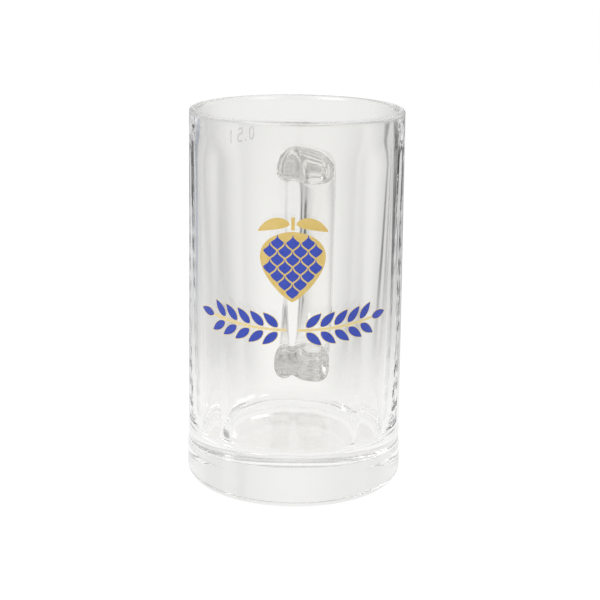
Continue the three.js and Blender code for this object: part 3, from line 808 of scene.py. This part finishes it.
# Capacity mark. Half-litre figures on the back wall beside the handle, printed in a thin frosting
# enamel and fired on: hardly darker than the glass, and read the wrong way round from the front.
mark_turn = math.radians(-134.5)
mark_height = bowl_height - 20.0 * mm
figure_height, figure_width, figure_stroke, figure_gap = 4.4 * mm, 2.9 * mm, 0.6 * mm, 1.4 * mm
nought_place, point_place, litre_place = -1.5, -0.75, 1.25
five_bow = 0.62
straight_steps, short_steps, bow_steps, ring_steps = 5, 4, 15, 36


def figure_lines():
    """Centre lines of the strokes in the sheet: a nought, a point, a five and a litre stroke.
    Each is a list of points, with True if it closes on itself."""
    rx, ry = (figure_width - figure_stroke) / 2, (figure_height - figure_stroke) / 2
    step = figure_width + figure_gap
    low, high = mark_height - figure_height / 2, mark_height + figure_height / 2
    turns = spread(0.0, math.tau, ring_steps + 1)[:-1]
    middle = nought_place * step
    nought = [(middle + rx * math.cos(turn), mark_height + ry * math.sin(turn)) for turn in turns]
    point = [(point_place * step, low), (point_place * step, low + figure_stroke)]
    bow = ry * five_bow
    shoulder = mark_height - ry + 2 * bow
    five = [(x, mark_height + ry) for x in spread(rx, -rx, straight_steps)]
    five += [(-rx, z) for z in spread(mark_height + ry, shoulder, straight_steps)[1:]]
    five += [(x, shoulder) for x in spread(-rx, rx - bow, short_steps)[1:]]
    for turn in spread(math.pi / 2, -math.pi / 2, bow_steps)[1:]:
        five.append((rx - bow + bow * math.cos(turn), shoulder - bow + bow * math.sin(turn)))
    five += [(x, mark_height - ry) for x in spread(rx - bow, -rx, short_steps)[1:]]
    litre = [(litre_place * step, z) for z in spread(low, high, straight_steps)]
    return [(nought, True), (point, False), (five, False), (litre, False)]


def strokes_tree():
    tree, given = new_tree("strokes along lines", {"Stroke": "Float", **print_inputs})
    lines = node(tree, "GeometryNodeMeshToCurve", given["Geometry"]).outputs[0]
    level = node(tree, "GeometryNodeSetCurveNormal", lines, mode="Z_UP").outputs[0]
    half = calc(tree, "MULTIPLY", given["Stroke"], 0.5)
    start = combine(tree, calc(tree, "MULTIPLY", half, -1.0), 0.0, 0.0)
    nib = line_between(tree, start, combine(tree, half, 0.0, 0.0))
    laid(tree, given, node(tree, "GeometryNodeCurveToMesh", level, nib).outputs[0])
    return tree


def frosting():
    """Thin frosting: glass that scatters a little, so that the mark shows as a faint grey."""
    material, tree, shader = new_material("frosting enamel")
    inked(tree, shader, (0.94, 0.94, 0.94), (0.97, 0.97, 0.97), mottle=0.8, roughness=0.22)
    shader.inputs["IOR"].default_value = glass_ior
    shader.inputs["Transmission Weight"].default_value = 0.85
    return material


figure_mesh = bpy.data.meshes.new("figure lines")
corners, strokes = [], []
for line, closes in figure_lines():
    first = len(corners)
    corners += [(x, z, 0.0) for x, z in line]
    strokes += [(i, i + 1) for i in range(first, len(corners) - 1)]
    if closes:
        strokes.append((len(corners) - 1, first))
figure_mesh.from_pydata(corners, strokes, [])
mark = grown("capacity_mark_print", figure_mesh, strokes_tree(), **{
    "Stroke": figure_stroke, "Turn": mark_turn, "Under": gold_under, "Over": gold_over, "Ink": frosting(),
    **wall_sizes})
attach(mark, "root")
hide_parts(*(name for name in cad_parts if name.startswith("capacity_")))


# Studio. A white sweep under soft light, which the camera sees as plain white. To the glass it is bright
# straight behind the mug and dimmer to the sides, and flags stand on it at middle distance: two dark ones
# on the right and a bluish one on the left, which draw the lines along the walls.
view_azimuth = math.radians(7.5)
sweep_edge = {"start": 1.0, "end": 22.0, "loss": 0.32}
side_wall = {"start": 50.0, "end": 75.0}
flags = {
    "near": {"from": 17.0, "to": 24.0, "soft": 2.5, "colour": (0.0, 0.0, 0.0)},
    "right": {"from": 30.0, "to": 48.0, "soft": 3.0, "colour": (0.0, 0.0, 0.005)},
    "left": {"from": -48.0, "to": -32.0, "soft": 5.0, "colour": (0.36, 0.40, 0.48)}}


def surround_group():
    """Colour of the studio by bearing, in degrees from straight behind the mug, to the right positive."""
    tree, given = new_group("studio surround", "ShaderNodeTree", {
        "Direction": "Vector", "Sweep": "Float", "Flags": "Float"}, {"Colour": "Color"})
    part = split(tree, given["Direction"])
    turn = calc(tree, "ADD", calc(tree, "ARCTAN2", part["X"], part["Y"]), view_azimuth)
    bearing = calc(tree, "DEGREES", turn)
    aside = calc(tree, "ABSOLUTE", bearing)
    dimmer = eased(tree, aside, sweep_edge["start"], sweep_edge["end"])
    lit_again = eased(tree, aside, side_wall["start"], side_wall["end"])
    dim = calc(tree, "MULTIPLY", calc(tree, "SUBTRACT", dimmer, lit_again), given["Sweep"])
    level = calc(tree, "MULTIPLY_ADD", dim, -sweep_edge["loss"], 1.0)
    colour = node(tree, "ShaderNodeCombineColor", level, level, level).outputs[0]
    for flag in flags.values():
        begun = eased(tree, bearing, flag["from"], flag["from"] + flag["soft"])
        ended = eased(tree, bearing, flag["to"] - flag["soft"], flag["to"])
        shade = calc(tree, "MULTIPLY", calc(tree, "SUBTRACT", begun, ended), given["Flags"])
        colour = mix_colours(tree, shade, colour, (*flag["colour"], 1.0))
    node(tree, "NodeGroupOutput", colour)
    return tree


surround = surround_group()
white = (1.0, 1.0, 1.0, 1.0)
floor_reach = 4.0
floor_white, floor_matte, floor_glow = 1.05, (0.85, 0.85, 0.85, 1.0), 0.93
floor_fall = {"start": 0.08, "end": 0.6, "level": 0.92}
floor_front = {"start": -0.4, "end": 0.1, "level": 0.82}
sweep_begins = {"start": 0.06, "end": 0.2}
flags_begin = {"start": 0.13, "end": 0.36}
flags_fade = {"start": 0.42, "end": 0.85, "level": 0.2}


def white_sweep():
    """Plain white to the camera, the studio's own colours to the glass, and matte to all other light."""
    material = bpy.data.materials.new("white sweep")
    material.use_nodes = True
    tree = material.node_tree
    tree.nodes.clear()
    path = node(tree, "ShaderNodeLightPath").outputs
    in_glass = calc(tree, "MAXIMUM", path["Is Glossy Ray"], path["Is Transmission Ray"])
    seen = calc(tree, "MAXIMUM", path["Is Camera Ray"], in_glass)
    spot = node(tree, "ShaderNodeTexCoord").outputs["Object"]
    far = node(tree, "ShaderNodeVectorMath", spot, operation="LENGTH").outputs["Value"]
    behind = mapped(tree, far, floor_fall["start"], floor_fall["end"], 1.0, floor_fall["level"])
    depth = split(tree, spot)["Y"]
    ahead = mapped(tree, depth, floor_front["start"], floor_front["end"], floor_front["level"], 1.0)
    begun = eased(tree, far, flags_begin["start"], flags_begin["end"])
    faded = eased(tree, far, flags_fade["start"], flags_fade["end"], 1.0, flags_fade["level"])
    standing = calc(tree, "MULTIPLY", begun, faded)
    dimming = eased(tree, far, sweep_begins["start"], sweep_begins["end"])
    colour = group(tree, surround, Direction=spot, Sweep=dimming, Flags=standing)[0]
    around = node(tree, "ShaderNodeEmission", colour, calc(tree, "MULTIPLY", behind, ahead)).outputs[0]
    plain = node(tree, "ShaderNodeEmission", white, floor_white).outputs[0]
    glow = node(tree, "ShaderNodeMixShader", path["Is Camera Ray"], around, plain).outputs[0]
    matte = node(tree, "ShaderNodeBsdfDiffuse", floor_matte).outputs[0]
    share = calc(tree, "MULTIPLY", seen, floor_glow)
    node(tree, "ShaderNodeOutputMaterial", node(tree, "ShaderNodeMixShader", share, matte, glow).outputs[0])
    return material


floor_mesh = bpy.data.meshes.new("floor")
floor_corners = [(x * floor_reach, y * floor_reach, 0.0) for x, y in ((-1, -1), (1, -1), (1, 1), (-1, 1))]
floor_mesh.from_pydata(floor_corners, [], [(0, 1, 2, 3)])
floor_mesh.materials.append(white_sweep())
floor = placed("floor", floor_mesh)

world_sweep, world_flags = 0.2, 0.05
world_level = {"start": 0.3, "behind": 0.9, "end": -0.5, "in front": 0.5}
world = bpy.data.worlds.new("studio")
bpy.context.scene.world = world
world.use_nodes = True
tree = world.node_tree
tree.nodes.clear()
heading = node(tree, "ShaderNodeTexCoord").outputs["Generated"]
level = eased(tree, split(tree, heading)["Y"], world_level["start"], world_level["end"],
              world_level["behind"], world_level["in front"])
colour = group(tree, surround, Direction=heading, Sweep=world_sweep, Flags=world_flags)[0]
around = node(tree, "ShaderNodeBackground", colour, level).outputs[0]
plain = node(tree, "ShaderNodeBackground", white, 1.0).outputs[0]
to_camera = node(tree, "ShaderNodeLightPath").outputs["Is Camera Ray"]
node(tree, "ShaderNodeOutputWorld", node(tree, "ShaderNodeMixShader", to_camera, around, plain).outputs[0])

# The strong key lamp isn't seen through the glass, where it would only make white sparks.
lamps = {
    "key": {"place": (-0.7, -0.9, 1.1), "size": 0.8, "power": 11.0, "through_glass": False},
    "fill": {"place": (0.9, -0.7, 0.9), "size": 0.6, "power": 4.0, "through_glass": True}}
lamp_aim = Vector((0.0, 0.0, 0.08))
for name, lamp in lamps.items():
    light = bpy.data.lights.new(name, "AREA")
    light.shape = "SQUARE"
    light.size = lamp["size"]
    light.energy = lamp["power"]
    holder = placed(name, light)
    holder.visible_transmission = lamp["through_glass"]
    holder.location = lamp["place"]
    holder.rotation_euler = (lamp_aim - Vector(lamp["place"])).to_track_quat("-Z", "Y").to_euler()

view_pitch, view_roll, view_distance = math.radians(14.3), math.radians(0.65), 0.6375
image_width, right_pixels, up_pixels = 600, 4.73, -5.3
lens = bpy.data.cameras.new("camera")
camera = placed("camera", lens)
target = Vector((0.0, 0.0, bowl_height / 2))
level_part = math.cos(view_pitch)
right, toward = math.sin(view_azimuth) * level_part, -math.cos(view_azimuth) * level_part
back = Vector((right, toward, math.sin(view_pitch)))
turned = back.to_track_quat("Z", "Y").to_matrix() @ Matrix.Rotation(view_roll, 3, "Z")
camera.matrix_world = Matrix.Translation(target + back * view_distance) @ turned.to_4x4()
lens.sensor_width = 36.0
lens.lens = 94.5
lens.shift_x = right_pixels / image_width
lens.shift_y = up_pixels / image_width
bpy.context.scene.camera = camera
bpy.context.scene.view_settings.view_transform = "Standard"
light_paths = bpy.context.scene.cycles
light_paths.max_bounces = 32
light_paths.transmission_bounces = 32
light_paths.glossy_bounces = 24
